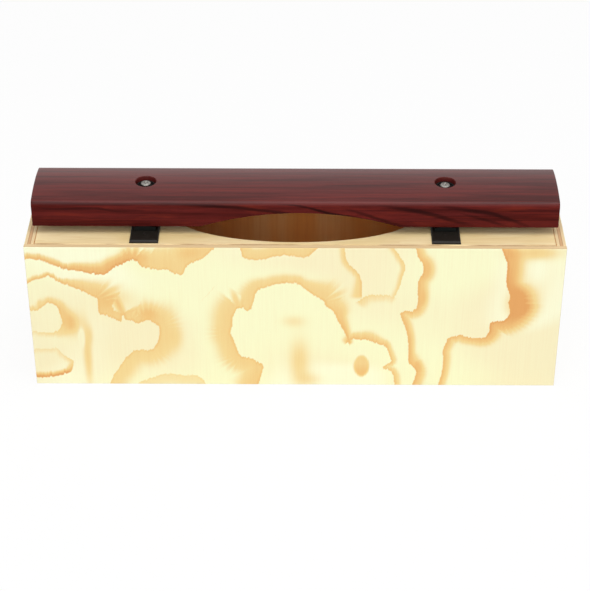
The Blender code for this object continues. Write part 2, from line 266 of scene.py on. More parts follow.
# The face veneer of the front panel. Lines are in millimetres from the face's upper left corner, x to the
# right and then down. Each is the sharp edge of a growth ring: its layer, the side on which the dark wood
# lies (1 is left of the way the line runs), how far the dark wood fades out and how deep its tone is
frontPanel = {
    "cell": 0.0011,    # of the grid that carries the figure
    "ease": 0.0004,
    "plies": (1.1, 3.7),    # depths of the two glue lines, in mm
    "layers": 4,
    "falloff": 3.2,    # how squarely the dark wood ends
    "rimTone": 0.22,    # added right beside a sharp edge
    "lead": 7,    # how far a tone is kept before its line, in mm
    "tail": 1.5,    # and behind it, in fades
    "soften": 3,    # over which it dies away there, in mm
    "overrun": 5,    # how far it is kept past a line's end, in mm
    "endSoften": 4,
    "lines": (
        (0, 1, ((0, 6), (0.2, 6), (0.35, 12), (0.5, 10), (0.62, 26), (1, 24)),
         ((0, 0.75), (0.4, 0.95), (0.5, 0.95), (0.62, 0.62), (1, 0.6)),
         ((-3, 12), (12.5, 13), (22.5, 17), (31, 22), (41, 23), (52.5, 25.6), (60, 27), (67.5, 26.5),
          (75, 20.6), (81, 17.5), (90, 12), (94, 14), (99, 19), (109, 22), (119, 22.5), (127.5, 26),
          (132.5, 27), (136, 20), (141, 15), (150, 11), (157.5, 4), (164, -4))),
        (1, 1, ((0, 14), (1, 14)), ((0, 0.6), (1, 0.6)),
         ((180, -3), (182.5, 2.5), (185, 10), (195, 12), (205, 10.6), (217.5, 7.5), (236, 9.4), (243, 5),
          (250, -3))),
        (1, 1, ((0, 4), (0.14, 4), (0.24, 14), (0.32, 26), (0.55, 20), (0.7, 18), (1, 16)),
         ((0, 0.7), (0.15, 0.7), (0.3, 0.62), (0.7, 0.6), (1, 0.5)),
         ((-3, 39), (7.5, 33), (14, 31), (19, 29), (25, 34), (35, 39), (44, 43), (51, 47), (55, 50),
          (59, 54), (59.4, 67.5), (66, 70), (75, 75), (78, 76), (80, 67.5), (82, 74), (87.5, 75),
          (92.5, 79), (99, 75), (105, 76), (110, 81), (110.6, 87.5), (109, 96), (104, 105), (94, 106),
          (87.5, 107.5), (80, 115), (74, 125), (70, 131), (66, 139), (64, 146))),
        (2, 1, ((0, 5), (0.4, 8), (0.6, 14), (0.75, 5), (1, 5)),
         ((0, 0.5), (0.4, 0.65), (0.6, 0.45), (1, 0.25)),
         ((-3, 66), (7.5, 64), (12.5, 59), (19, 57.5), (24, 61), (26, 70), (27, 77.5), (24, 84),
          (19, 87.5), (11, 88), (-3, 87))),
        (0, 1, ((0, 6), (0.35, 5), (0.6, 5), (1, 5)),
         ((0, 1), (0.35, 1), (0.5, 0.45), (0.65, 0.28), (1, 0.25)),
         ((-3, 137), (12.5, 136), (22.5, 134), (30, 131), (33, 126), (34, 120), (32, 117), (25, 111),
          (19, 105), (-3, 106))),
        (2, -1, ((0, 14), (1, 14)), ((0, 0.35), (1, 0.35)),
         ((92, 141), (107.5, 134), (119, 132), (131, 134), (144, 135), (151, 146))),
        (0, -1, ((0, 4), (0.1, 8), (0.22, 22), (0.3, 9), (0.42, 10), (0.55, 20), (0.75, 18), (1, 20)),
         ((0, 0.75), (0.2, 0.62), (0.5, 0.6), (0.8, 0.62), (1, 0.66)),
         ((274.5, 97), (272, 89), (268, 80), (264.5, 72.5), (261, 65), (254.5, 59), (253, 54), (247, 50),
          (241, 45), (232, 37.5), (227, 35.6), (215, 36), (205, 39), (196, 44), (193, 54), (190, 62.5),
          (186, 64), (180, 61), (175, 70), (174, 80), (172.5, 87.5), (175, 95), (177.5, 104),
          (181, 112.5), (192.5, 116), (200, 122.5), (199, 131), (195, 146))),
        (1, 1, ((0, 6), (0.2, 10), (0.45, 5), (1, 6)), ((0, 0.7), (0.3, 0.7), (0.5, 0.62), (1, 0.6)),
         ((274.5, 97), (278, 94), (286, 94.5), (293, 95.6), (301, 99), (306, 101), (309, 106),
          (311, 112.5), (312, 117.5), (306, 122.5), (306, 125), (311, 127.5), (314.5, 132.5),
          (316, 146))),
        (2, -1, ((0, 5), (0.6, 5), (1, 9)), ((0, 0.5), (1, 0.6)),
         ((270, -3), (272, 12.5), (279.5, 22.5), (284.5, 31), (285.5, 47.5))),
        (3, -1, ((0, 5), (1, 4)), ((0, 0.5), (0.6, 0.5), (1, 0.35)),
         ((310, -3), (318, 10), (321.5, 19), (319.5, 29), (317, 40), (313, 50))),
        (1, 1, ((0, 7), (1, 9)), ((0, 0.32), (1, 0.42)),
         ((312, 49), (306, 47), (298, 47), (289.5, 48), (283, 53))),
        (2, 1, ((0, 7), (0.15, 9), (0.3, 9), (0.45, 8), (0.55, 7), (0.75, 6), (0.85, 9), (1, 8)),
         ((0, 0.7), (0.2, 0.75), (0.45, 0.72), (0.8, 0.78), (1, 0.75)),
         ((329, -3), (332, 9), (336, 16), (336.5, 25), (333, 34), (333, 57.5), (329, 64), (319.5, 65),
          (319.5, 70), (323, 80), (326, 92.5), (327, 106), (328, 119), (333, 125), (334.5, 131),
          (331, 146))),
        (0, 1, ((0, 14), (0.2, 12), (0.35, 20), (0.45, 13), (0.6, 8), (1, 6)),
         ((0, 0.85), (0.2, 1), (0.5, 0.95), (0.6, 0.75), (1, 0.7)),
         ((400, -3), (406, 11), (407.6, 19), (408, 36), (412, 49), (411, 55), (412.6, 64), (411, 70),
          (406, 74), (398, 75), (396, 80), (396, 86), (391, 92), (378, 91), (371, 89), (362, 92),
          (359.5, 97.5), (357, 106), (357.6, 115), (357, 130), (354, 146))),
    ),
    # Soft stains: middle x and y, half sizes, depth of tone
    "stains": (
        (423, 56, 13, 15, 0.75), (430, 4, 22, 7, 0.5), (434, 22, 8, 14, -0.2), (432, 26, 18, 26, 0.22),
        (36, 78, 9, 15, 0.46), (47, 112, 4, 34, 0.55), (43, 93, 2, 8, -0.9), (51, 90, 3, 11, 0.25),
        (232, 118, 10, 26, 0.46), (242, 138, 12, 8, 0.25), (227, 75, 12, 7, 0.28), (137, 4, 14, 7, 0.2),
        (343, 20, 6, 12, 0.22), (339, 50, 4, 9, 0.28), (336, 118, 4, 9, 0.25), (272, 62, 7, 22, 0.15),
        (76, 52, 17, 13, 0.3), (102, 66, 9, 9, 0.3), (122, 60, 8, 14, 0.12), (126, 95, 6, 14, 0.2),
    ),
    "knot": (286.4, 122.5, 7.0, 11.5),    # middle x and y, half sizes
    "knotShade": (118, 132),    # the y from which and to which it darkens
}


def frontPanelMesh():
    # A grid of x and z at the face, with rings that carry its edge back to a flat rear face
    low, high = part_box("front_panel")
    ease = frontPanel["ease"]
    columns = round((high.x - low.x) / frontPanel["cell"])
    rows = round((high.z - low.z) / frontPanel["cell"])
    gx = np.linspace(low.x + ease, high.x - ease, columns + 1)
    gz = np.linspace(low.z + ease, high.z - ease, rows + 1)
    x, z = np.meshgrid(gx, gz)
    points = np.stack([x, np.full_like(x, low.y), z], axis=-1).reshape(-1, 3)
    wide = columns + 1
    i = np.arange(rows)[:, None] * wide
    j = np.arange(columns)[None, :]
    faces = np.stack([i + j, i + j + 1, i + j + 1 + wide, i + j + wide], axis=-1).reshape(-1, 4).tolist()
    edge = np.concatenate([
        np.arange(columns), np.arange(rows) * wide + columns,
        rows * wide + np.arange(columns, 0, -1), np.arange(rows, 0, -1) * wide,
    ])    # the border of the grid, once round
    border = points[edge]
    full = border.copy()    # the same, moved out to the panel's sides
    beside = 1.5 * ease    # border points lie one ease from a side, others further
    for axis in (0, 2):
        full[border[:, axis] < low[axis] + beside, axis] = low[axis]
        full[border[:, axis] > high[axis] - beside, axis] = high[axis]
    rings = []
    for outline, y in ((full, low.y + ease), (full, high.y - ease), (border, high.y)):
        ring = outline.copy()
        ring[:, 1] = y
        rings.append(ring)
    size = len(edge)
    loops = [edge] + [len(points) + size * n + np.arange(size) for n in range(len(rings))]
    for near, far in zip(loops, loops[1:]):
        faces += np.stack([np.roll(near, -1), near, far, np.roll(far, -1)], axis=-1).tolist()
    faces.append(loops[-1][::-1].tolist())
    return np.vstack([points, *rings]), faces


def frontPanelFields(mesh):
    # For each layer of growth rings, what the finish needs at a point: how far behind the nearest line it
    # lies, how far the dark wood fades there, how a slide along the fibres moves it, and the depth of tone
    low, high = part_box("front_panel")
    points = pointsOf(mesh)
    across = (points[:, 0] - low.x) * 1000
    down = (high.z - points[:, 2]) * 1000
    layers = frontPanel["layers"]
    soften = frontPanel["soften"]
    nearest = np.full((layers, len(points)), np.inf)
    fields = np.zeros((layers, len(points), 3))
    tones = np.zeros((layers, len(points)))
    for layer, dark, fades, depths, line in frontPanel["lines"]:
        distance, share, slope, past = nearestOn(curveThrough(line), across, down)
        closer = np.abs(distance) < nearest[layer]
        nearest[layer][closer] = np.abs(distance)[closer]
        fade = along(fades, share)
        within = dark * distance
        # The tone dies away outside the band, so that nothing shows where the nearest line changes
        reach = np.clip((within + frontPanel["lead"]) / soften, 0, 1)
        reach *= np.clip((frontPanel["tail"] * fade + soften - within) / soften, 0, 1)
        reach *= np.clip((frontPanel["overrun"] - past) / frontPanel["endSoften"], 0, 1)
        values = np.stack([within, fade, dark * slope], axis=1)
        fields[layer][closer] = values[closer]
        tones[layer][closer] = (along(depths, share) * reach)[closer]
    for layer in range(layers):
        addField(mesh, f"ring{layer}", fields[layer])
        addField(mesh, f"tone{layer}", tones[layer])
    stain = np.zeros(len(points))
    for x, y, halfWide, halfHigh, depth in frontPanel["stains"]:
        stain += depth * np.exp(-((across - x) / halfWide) ** 2 - ((down - y) / halfHigh) ** 2)
    x, y, halfWide, halfHigh = frontPanel["knot"]
    knot = np.sqrt(((across - x) / halfWide) ** 2 + ((down - y) / halfHigh) ** 2)
    addField(mesh, "stain", np.stack([stain, knot, down], axis=1))


veneer = {
    "pale": paint(246, 246, 202),
    "paleWarm": paint(245, 236, 194),
    "paleBright": paint(250, 252, 220),
    "tan": paint(240, 212, 145),
    "orange": paint(236, 190, 118),
    "deep": paint(226, 162, 92),
    "plyPale": paint(240, 216, 168),
    "plyBrown": paint(196, 140, 92),
    "glue": paint(150, 98, 60),
    "insideDeep": paint(246, 164, 84),
    "insidePale": paint(250, 190, 122),
    "insideStreak": paint(226, 140, 70),
    "fineTeeth": 7.0,    # how far fibres slide the figure, in mm
    "broadTeeth": 5.0,
    "facePly": (0.25, 0.5),    # depths over which the face turns into the edge, in mm
    "grainDepth": 0.00006,
}


def groundColour(finish, x, z):    # pale wood between the rings, warmer in slow patches
    slow = finish.noise(x * 0.006, 3.1, z * 0.009, 1)
    bright = finish.noise(x * 0.008, 7.7, z * 0.012, 1)
    ground = finish.mix(slow.step(0.4, 0.62), veneer["pale"], veneer["paleWarm"])
    return finish.mix(bright.step(0.5, 0.66) * 0.7, ground, veneer["paleBright"])


def figureColour(finish, ground, tone, x, z):    # pale wood, then tan, orange and deep orange by tone
    fibres = finish.noise(x * 1.1, 0.0, z * 0.03, 3, 0.6)
    shade = tone * (0.9 + 0.2 * fibres)
    tan = finish.mix(shade.step(0.0, 0.55), ground, veneer["tan"])
    orange = finish.mix(shade.step(0.5, 0.85), tan, veneer["orange"])
    colour = finish.mix(shade.step(0.8, 1.15), orange, veneer["deep"])
    streak = finish.noise(x * 0.7, 5.0, z * 0.018, 4, 0.65).step(0.35, 0.75)
    return finish.mix(streak * 0.06, colour, veneer["deep"], "MULTIPLY")


def jaggedShift(finish, x, z):    # how far each upright fibre slides the figure, in mm
    fine = finish.noise(x * 0.75, 1.0, z * 0.03, 2, 0.7)
    broad = finish.noise(x * 0.22, 4.0, z * 0.02, 2, 0.5)
    return (fine - 0.5) * veneer["fineTeeth"] + (broad - 0.5) * veneer["broadTeeth"]


def edgeGrain(finish, depth, length, plies, middle=1.0):
    # A panel's cut edge, by depth in mm: a brown ply between two pale ones. middle is how strongly it shows
    wobble = finish.noise(length * 0.03, depth * 0.2, 2.0, 2) * 0.35 - 0.17
    at = depth + wobble
    pores = finish.noise(length * 0.35, at * 2.0, 6.0, 3, 0.7)
    pale = finish.mix(pores * 0.3, veneer["plyPale"], veneer["plyBrown"])
    brown = finish.mix(pores * 0.6, veneer["plyBrown"], veneer["plyPale"])
    first, second = plies
    blur = 0.12
    inner = at.step(first - blur, first + blur) * (1 - at.step(second - blur, second + blur))
    colour = finish.mix(inner * middle, pale, brown)
    for joint in plies:
        line = 1 - abs(at - joint).step(0.08, 0.3)
        colour = finish.mix(line * (0.25 + 0.5 * middle), colour, veneer["glue"])
    return colour


def insideColour(finish, x, z):    # the bare veneer inside the box, grain upright
    wide = finish.noise(x * 0.03, 2.0, z * 0.004, 2)
    fine = finish.noise(x * 0.5, 9.0, z * 0.015, 4, 0.7)
    base = finish.mix(wide.step(0.35, 0.65), veneer["insideDeep"], veneer["insidePale"])
    return finish.mix(fine.step(0.4, 0.75) * 0.4, base, veneer["insideStreak"])


def rearShare(depth, thickness):    # 1 on the inner face of a panel, by depth in mm
    return depth.step(thickness - 0.2, thickness - 0.05)


def frontPanelFinish():
    finish = Finish("front_veneer", Roughness=0.5, IOR=1.45)
    low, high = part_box("front_panel")
    x, y, z = finish.place()
    shift = jaggedShift(finish, x, z)
    tone = 0.0
    for layer in range(frontPanel["layers"]):
        distance, fade, slope = finish.split(finish.attribute(f"ring{layer}"))
        depth = finish.attribute(f"tone{layer}", "Fac")
        near = 1 - distance.step(3, 10) * 0.85    # the teeth belong to the sharp edge
        inside = distance + slope * shift * near
        band = inside.step(-0.3, 0.5) * (-(inside.larger(0.0) / fade) ** frontPanel["falloff"]).exp()
        rim = inside.step(-0.3, 0.4) * (1 - inside.step(0.7, 2.8)) * frontPanel["rimTone"]
        band = (band + rim) * depth
        tone = band if layer == 0 else band.larger(tone)
    stain, knot, down = finish.split(finish.attribute("stain"))
    tone = (tone + stain * (1.05 - 0.5 * tone)).larger(0.0)
    knotShape = 1 - (knot + shift * 0.03).step(0.75, 1.2)
    knotLow, knotHigh = frontPanel["knotShade"]
    tone = tone.larger(knotShape * (0.62 + 0.2 * down.step(knotLow, knotHigh)))
    face = figureColour(finish, groundColour(finish, x, z), tone, x, z)
    depth = y - low.y * 1000
    edge = edgeGrain(finish, depth, x + z, frontPanel["plies"], 0.2)
    colour = finish.mix(depth.step(*veneer["facePly"]), face, edge)
    arris = (1 - abs(depth - 0.5).step(0.1, 0.35)) * 0.35    # a faint line just behind the eased edge
    colour = finish.mix(arris, colour, veneer["glue"])
    rear = rearShare(depth, (high.y - low.y) * 1000)
    colour = finish.mix(rear, colour, insideColour(finish, x, z))
    finish.feed("Base Color", colour)
    fibres = finish.noise(x * 2.4, y * 2.4, z * 0.06, 3, 0.6)
    finish.bump(fibres, veneer["grainDepth"])
    return finish


def ringFigure(finish, across, fibre, seed):
    # Growth rings of a peeled veneer: level lines of a smooth hill. Each band comes up slowly and then ends
    # sharply
    moved = fibre + jaggedShift(finish, across + seed * 31, fibre)
    hill = finish.noise(across * 0.0085 + seed, moved * 0.008, seed * 1.7, 1.0, 0.4) * 7.5
    phase = hill.fraction()
    return (phase ** 3.2) * (1 - phase.step(0.985, 1.0)) * 0.95


def panelFinish(node, axis, grain, seed, plies):
    low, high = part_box(node)
    finish = Finish(node.rsplit("_", 1)[0] + "_veneer", Roughness=0.52, IOR=1.45)
    place = finish.place()
    across = place[3 - axis - grain]    # the third axis
    fibre = place[grain]
    outward = 1 if (low[axis] + high[axis]) > 0 else -1
    outer = (high[axis] if outward > 0 else low[axis]) * 1000
    depth = (outer - place[axis]) * outward
    tone = ringFigure(finish, across, fibre, seed)
    face = figureColour(finish, groundColour(finish, across + seed * 57, fibre), tone, across, fibre)
    edge = edgeGrain(finish, depth, across + fibre, plies)
    colour = finish.mix(depth.step(*veneer["facePly"]), face, edge)
    rear = rearShare(depth, (high[axis] - low[axis]) * 1000)
    colour = finish.mix(rear, colour, insideColour(finish, across, fibre))
    finish.feed("Base Color", colour)
    finish.bump(finish.noise(across * 2.4, depth, fibre * 0.06, 3, 0.6), veneer["grainDepth"])
    return finish


def dress(finish, *nodes):    # gives CAD nodes a better material
    for node in nodes:
        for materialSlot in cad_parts[node].material_slots:
            materialSlot.material = finish.material


# Front panel
panel = addPiece("frontPanel", frontPanelMesh(), frontPanelFinish(), "resonator", smooth=False)
frontPanelFields(panel.data)
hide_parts("front_panel")
print("stage: front panel", len(panel.data.vertices), "points")

# The other panels keep their solids: the axis through each, the axis of its grain, the seed of its figure
# and the depths of its glue lines in mm
otherPanels = {
    "back_panel": (1, 2, 2.3, (1.1, 3.7)),
    "left_end_panel": (0, 2, 4.1, (2.9, 5.3)),
    "right_end_panel": (0, 2, 6.4, (2.9, 5.3)),
    "bottom_board": (2, 0, 8.2, (1.3, 3.7)),
}
for node, details in otherPanels.items():
    dress(panelFinish(node, *details), node)
print("stage: panels")


topBoard = {
    "steps": 288,    # round the sound hole
    "rimRounding": 0.0009,
    "edgeEase": 0.0004,
    "holeToPlate": 0.0133,
    "holeToPanel": 0.005,
    "pale": paint(250, 228, 180),
    "warm": paint(240, 214, 156),
    "ring": paint(226, 184, 122),
    "fibre": paint(206, 166, 112),
    "smear": paint(150, 98, 58),
    "wall": paint(190, 130, 76),
    "under": paint(222, 160, 88),
    "grainDepth": 0.00008,
}


def topBoardMesh():
    # Rings of equal angle go from the oval hole out to the board's outline and round its section:
    # oval x = a cos t, y = b sin t. The outline point is where the ray at that angle meets the rectangle
    low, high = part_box("top_board")
    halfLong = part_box("right_support_plate")[0].x - topBoard["holeToPlate"]
    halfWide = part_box("back_panel")[0].y - topBoard["holeToPanel"]
    corner = math.atan2(high.y / halfWide, high.x / halfLong)
    quarter = topBoard["steps"] // 4
    first = np.linspace(0, corner, quarter // 2, endpoint=False)
    second = np.linspace(corner, math.pi / 2, quarter - quarter // 2, endpoint=False)
    turn = np.concatenate([first, second])
    mirrored = math.pi - np.concatenate([[math.pi / 2], turn[:0:-1]])
    half = np.concatenate([turn, mirrored])
    t = np.concatenate([half, half + math.pi])
    cosine, sine = np.cos(t), np.sin(t)
    ovalX, ovalY = halfLong * cosine, halfWide * sine
    tiny = 1e-9    # so that nothing is divided by zero
    scaleX = high.x / np.maximum(np.abs(ovalX), tiny)
    scaleY = high.y / np.maximum(np.abs(ovalY), tiny)
    scale = np.minimum(scaleX, scaleY)
    outerX, outerY = ovalX * scale, ovalY * scale
    r = topBoard["rimRounding"]
    ease = topBoard["edgeEase"]
    rings = []

    def ovalRing(grow, z):
        rings.append(np.stack([(halfLong + grow) * cosine, (halfWide + grow) * sine, np.full_like(t, z)], 1))

    def outlineRing(inset, z):
        x = np.clip(outerX, low.x + inset, high.x - inset)
        y = np.clip(outerY, low.y + inset, high.y - inset)
        rings.append(np.stack([x, y, np.full_like(t, z)], 1))

    for a in np.linspace(0, math.pi / 2, 5):    # upper rim, from the wall to the face
        ovalRing(r * (1 - math.cos(a)), high.z - r * (1 - math.sin(a)))
    outlineRing(ease, high.z)
    outlineRing(0, high.z - ease)
    outlineRing(0, low.z + ease)
    outlineRing(ease, low.z)
    for a in np.linspace(math.pi / 2, 0, 5):    # lower rim
        ovalRing(r * (1 - math.cos(a)), low.z + r * (1 - math.sin(a)))
    # In this order the faces would point inwards, so it is turned round
    return np.vstack(rings[::-1]), ringFaces(len(rings), len(t), wrapped=True)


def topBoardFinish():
    finish = Finish("pine_board", Roughness=0.55, IOR=1.45)
    x, y, z = finish.place()
    low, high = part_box("top_board")
    rings = finish.noise(x * 0.004, y * 0.09, z * 0.05, 2, 0.5)
    lines = (rings * 9).fraction() ** 3
    slow = finish.noise(x * 0.012, y * 0.05, 1.0, 2)
    base = finish.mix(slow.step(0.35, 0.68), topBoard["pale"], topBoard["warm"])
    colour = finish.mix(lines * 0.3, base, topBoard["ring"])
    fibres = finish.noise(x * 0.05, y * 1.6, z * 1.6, 3, 0.65)
    colour = finish.mix(fibres.step(0.45, 0.8) * 0.3, colour, topBoard["fibre"])
    # Glue and saw marks darken the joint with the panels in uneven stretches
    toJoint = high.y * 1000 - abs(y)
    stretch = finish.noise(x * 0.02, 4.0, y * 0.01, 3, 0.6)
    smear = (1 - toJoint.step(0.2, 1.3)) * stretch.step(0.38, 0.6)
    colour = finish.mix(smear * 0.75, colour, topBoard["smear"])
    wall = 1 - abs(z - (low.z + high.z) * 500).step(2.6, 3.4)
    colour = finish.mix(wall * 0.35, colour, topBoard["wall"])
    under = 1 - z.step(low.z * 1000 + 0.1, low.z * 1000 + 0.4)
    colour = finish.mix(under, colour, topBoard["under"])
    finish.feed("Base Color", colour)
    finish.bump(fibres, topBoard["grainDepth"])
    return finish


boardPiece = addPiece("topBoard", topBoardMesh(), topBoardFinish(), "resonator")
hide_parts("top_board")


batten = {
    "pale": paint(222, 176, 112),
    "ring": paint(196, 136, 76),
    "saw": paint(168, 110, 60),
    "sawDepth": 0.00015,
}


def battenFinish():
    finish = Finish("sawn_batten", Roughness=0.7, IOR=1.45)
    x, y, z = finish.place()
    rings = finish.noise(x * 0.12, y * 0.004, z * 0.12, 2, 0.5)
    base = finish.mix((rings * 8).fraction() ** 2.5, batten["pale"], batten["ring"])
    saw = finish.noise(x * 0.1, y * 1.2, z * 0.1, 2, 0.6)
    finish.feed("Base Color", finish.mix(saw * 0.25, base, batten["saw"]))
    finish.bump(saw, batten["sawDepth"])
    return finish


dress(battenFinish(), "left_screw_batten", "right_screw_batten")
print("stage: top board and battens")


# The bar. Veins are in millimetres: x along the bar from its middle, then the way over its surface from
# the middle of the crown towards the front and down. Layer, half width, depth of tone and the points
bar = {
    "crownRadius": 0.126,
    "edgeRadius": 0.005,
    "lowerEase": 0.001,
    "endEase": 0.0007,
    "archLength": 0.169,
    "archHeight": 0.0135,
    "archOffset": 0.0044,
    "station": 0.0016,    # spacing of the sections along the bar
    "counterbore": 0.0176,
    "bore": 0.012,
    "holeSteps": 96,
    "rimEase": 0.0003,
    "crownDrop": 0.0003,    # how far the crown has dropped at a hole's side
    "veinLayers": 3,
    "veins": (
        (0, 1.4, 0.9, ((-14, 33.5), (6, 36.5), (27, 42.7), (45, 46.5), (60, 50.1), (88, 56.4))),
        (1, 1.8, 0.75, ((-110, 34), (-80, 35.6), (-48, 38), (-30, 40.5), (-10, 42.9), (10, 47), (26, 51))),
        (0, 2.2, 0.7, ((72, 35), (90, 38.5), (102, 40.7), (120, 45.5), (135, 50.5), (150, 55))),
        (1, 2.0, 0.7, ((118, 35.5), (130, 37.2), (148, 40), (166, 43.1), (175, 46.5), (185, 50.3),
                       (200, 57))),
        (2, 1.6, 0.6, ((40, 38), (58, 44), (70, 48.5), (84, 53.5), (96, 57))),
        (2, 1.3, 0.5, ((-222, 32.5), (-190, 33.5), (-150, 34), (-118, 33), (-90, 34.5), (-60, 33.5))),
        (0, 1.2, 0.45, ((-222, 38), (-200, 40), (-170, 39), (-150, 41.5), (-128, 41))),
        (2, 1.5, 0.5, ((140, 43), (160, 49), (172, 53), (184, 57))),
    ),
}


barLow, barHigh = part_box("sound_bar")
bushLow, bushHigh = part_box("left_bush")
nodeX = {side: sum(corner.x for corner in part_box(side + "_bush")) / 2 for side in ("left", "right")}


def barSections(inset, underside):
    # All sections at once, a row of (y, z) for each: up the back from its eased lower edge, over the small
    # arc of the upper edge and the crown's arc, down the front the same way and along the underside. A point
    # of an arc is its middle plus r cos a in y and r sin a in z
    ease = bar["lowerEase"]
    edge = bar["edgeRadius"]
    half = barHigh.y - inset
    bottom = underside + inset
    crown = bar["crownRadius"] - inset
    crownZ = barHigh.z - inset - crown    # the crown's middle, with y = 0
    edgeY = half - edge
    edgeZ = crownZ + np.sqrt((crown - edge) ** 2 - edgeY ** 2)
    meet = np.arctan2(edgeZ - crownZ, edgeY)    # the angle at which the two arcs meet
    lower = np.linspace(-math.pi / 2, 0, 4)[:-1]
    wall = np.linspace(0, 1, 16)[:-1]
    arc = meet * np.linspace(0, 1, 9)[:-1]
    over = meet + (math.pi - 2 * meet) * np.linspace(0, 1, 45)
    floor = np.linspace(-1, 1, 26)[1:-1]
    wallZ = bottom + ease + (edgeZ - bottom - ease) * wall
    backY = np.hstack([half - ease + ease * np.cos(lower), half + 0 * wall, edgeY + edge * np.cos(arc)])
    backZ = np.hstack([bottom + ease + ease * np.sin(lower), wallZ, edgeZ + edge * np.sin(arc)])
    y = np.hstack([backY, crown * np.cos(over), -backY[:, ::-1], (half - ease) * floor])
    z = np.hstack([backZ, crownZ + crown * np.sin(over), backZ[:, ::-1], bottom + 0 * floor])
    return y, z


def barMesh():
    # Sections along x, drawn in at the two ends to ease them. Over the arch the underside rises by the root
    # of radius squared less (x - middle) squared, less how far below the flat part the arc has its centre
    half = bar["archLength"] / 2
    radius = (half ** 2 + bar["archHeight"] ** 2) / (2 * bar["archHeight"])
    middle = bar["archOffset"]
    ease = bar["endEase"]
    spans = (barLow.x + ease, middle - half, middle + half, barHigh.x - ease)
    stations = []
    for start, end in zip(spans, spans[1:]):
        count = math.ceil((end - start) / bar["station"])
        stations.append(np.linspace(start, end, count, endpoint=False))
    stations = np.concatenate([*stations, [spans[-1]]])
    turn = np.linspace(0, math.pi / 2, 4)[:-1]
    endStep = ease * (1 - np.cos(turn))
    endInset = ease * (1 - np.sin(turn))
    x = np.concatenate([barLow.x + endStep, stations, (barHigh.x - endStep)[::-1]])[:, None]
    inset = np.concatenate([endInset, np.zeros(len(stations)), endInset[::-1]])[:, None]
    away = x - middle
    rise = np.sqrt(np.maximum(radius ** 2 - away ** 2, 0)) - (radius - bar["archHeight"])
    underside = barLow.z + np.where(np.abs(away) < half, rise, 0)
    y, z = barSections(inset, underside)
    points = np.stack([np.broadcast_to(x, y.shape), y, z], axis=-1).reshape(-1, 3)
    return points, ringFaces(*y.shape)


def cutWith(piece, cutters):    # cuts their shapes out, then deletes the cutters
    for cutter in cutters:
        modifier = piece.modifiers.new(cutter.name, "BOOLEAN")
        modifier.operation = "DIFFERENCE"
        modifier.solver = "EXACT"
        modifier.object = cutter
    bpy.context.view_layer.update()
    evaluated = piece.evaluated_get(bpy.context.evaluated_depsgraph_get())
    mesh = bpy.data.meshes.new_from_object(evaluated)
    piece.modifiers.clear()
    piece.data = mesh
    for cutter in cutters:
        bpy.data.objects.remove(cutter, do_unlink=True)


def barFields(mesh):
    # For each layer of veins, what the finish needs at a point: its distance from the nearest vein, and that
    # vein's half width and depth of tone, which both fall off towards the vein's ends
    points = pointsOf(mesh)
    across = points[:, 0] * 1000
    down = (barHigh.z - points[:, 2] - points[:, 1]) * 1000
    layers = bar["veinLayers"]
    nearest = np.full((layers, len(points)), np.inf)
    fields = np.zeros((layers, len(points), 3))
    least = 0.02    # keeps a vein's ends from a width of nothing
    for layer, halfWide, depth, line in bar["veins"]:
        distance, share = nearestOn(curveThrough(line), across, down)[:2]
        taper = np.sin(np.pi * np.clip(share, least, 1 - least)) ** 0.5
        closer = np.abs(distance) < nearest[layer]
        nearest[layer][closer] = np.abs(distance)[closer]
        values = np.stack([distance, halfWide * (0.5 + 0.5 * taper), depth * taper], axis=1)
        fields[layer][closer] = values[closer]
    for layer in range(layers):
        addField(mesh, f"vein{layer}", fields[layer])


rosewood = {
    "dark": paint(66, 17, 15),
    "plum": paint(92, 30, 28),
    "red": paint(114, 36, 28),
    "ember": paint(122, 42, 28),
    "black": paint(28, 7, 7),
    "grainDepth": 0.00012,
}


def rosewoodFinish():
    finish = Finish("rosewood", IOR=1.12, Coat_Roughness=0.36, Coat_IOR=1.3)
    x, y, z = finish.place()
    wander = finish.noise(x * 0.006, y * 0.03, z * 0.03, 2) * 14
    fibre = finish.noise(x * 0.012, y * 0.55 + wander * 0.1, z * 0.55, 4, 0.62)
    coarse = finish.noise(x * 0.008, y * 0.16, z * 0.16 + wander * 0.04, 3, 0.55)
    onTop = 1 - (barHigh.z * 1000 - z).step(3.0, 7.0)
    body = finish.mix(coarse.step(0.35, 0.66), rosewood["dark"], rosewood["plum"])
    body = finish.mix(fibre.step(0.45, 0.72) * 0.5, body, rosewood["red"])
    slow = finish.noise(x * 0.02, y * 0.1, z * 0.12, 3, 0.6)
    patch = slow.step(0.52, 0.7) * (1 - onTop)
    body = finish.mix(patch * 0.4, body, rosewood["ember"])
    pores = finish.noise(x * 0.09, y * 2.6, z * 2.6, 2, 0.5)
    body = finish.mix(pores.step(0.58, 0.72) * 0.4, body, rosewood["black"])
    tone = 0.0
    rough = finish.noise(x * 0.05, y * 0.8, z * 0.8, 3, 0.6)
    for layer in range(bar["veinLayers"]):
        distance, halfWide, depth = finish.split(finish.attribute(f"vein{layer}"))
        band = (-((distance + (rough - 0.5) * 2.4) / halfWide) ** 4).exp() * depth
        tone = band if layer == 0 else band.larger(tone)
    body = finish.mix(tone, body, rosewood["black"])
    finish.feed("Base Color", body)
    finish.feed("Coat Weight", onTop)
    finish.feed("Roughness", 0.34 + 0.16 * fibre)
    finish.bump(fibre * 0.7 + pores * 0.5, rosewood["grainDepth"])
    return finish


bush = {
    "steps": 64,
    "lipRounding": 0.0004,
    "lipWall": 0.0014,
    "lipHeight": 0.0018,
    "flange": 0.0027,
    "seatGap": 0.0003,
    "slideGap": 0.0004,
    "screwRadius": 0.0024,
}


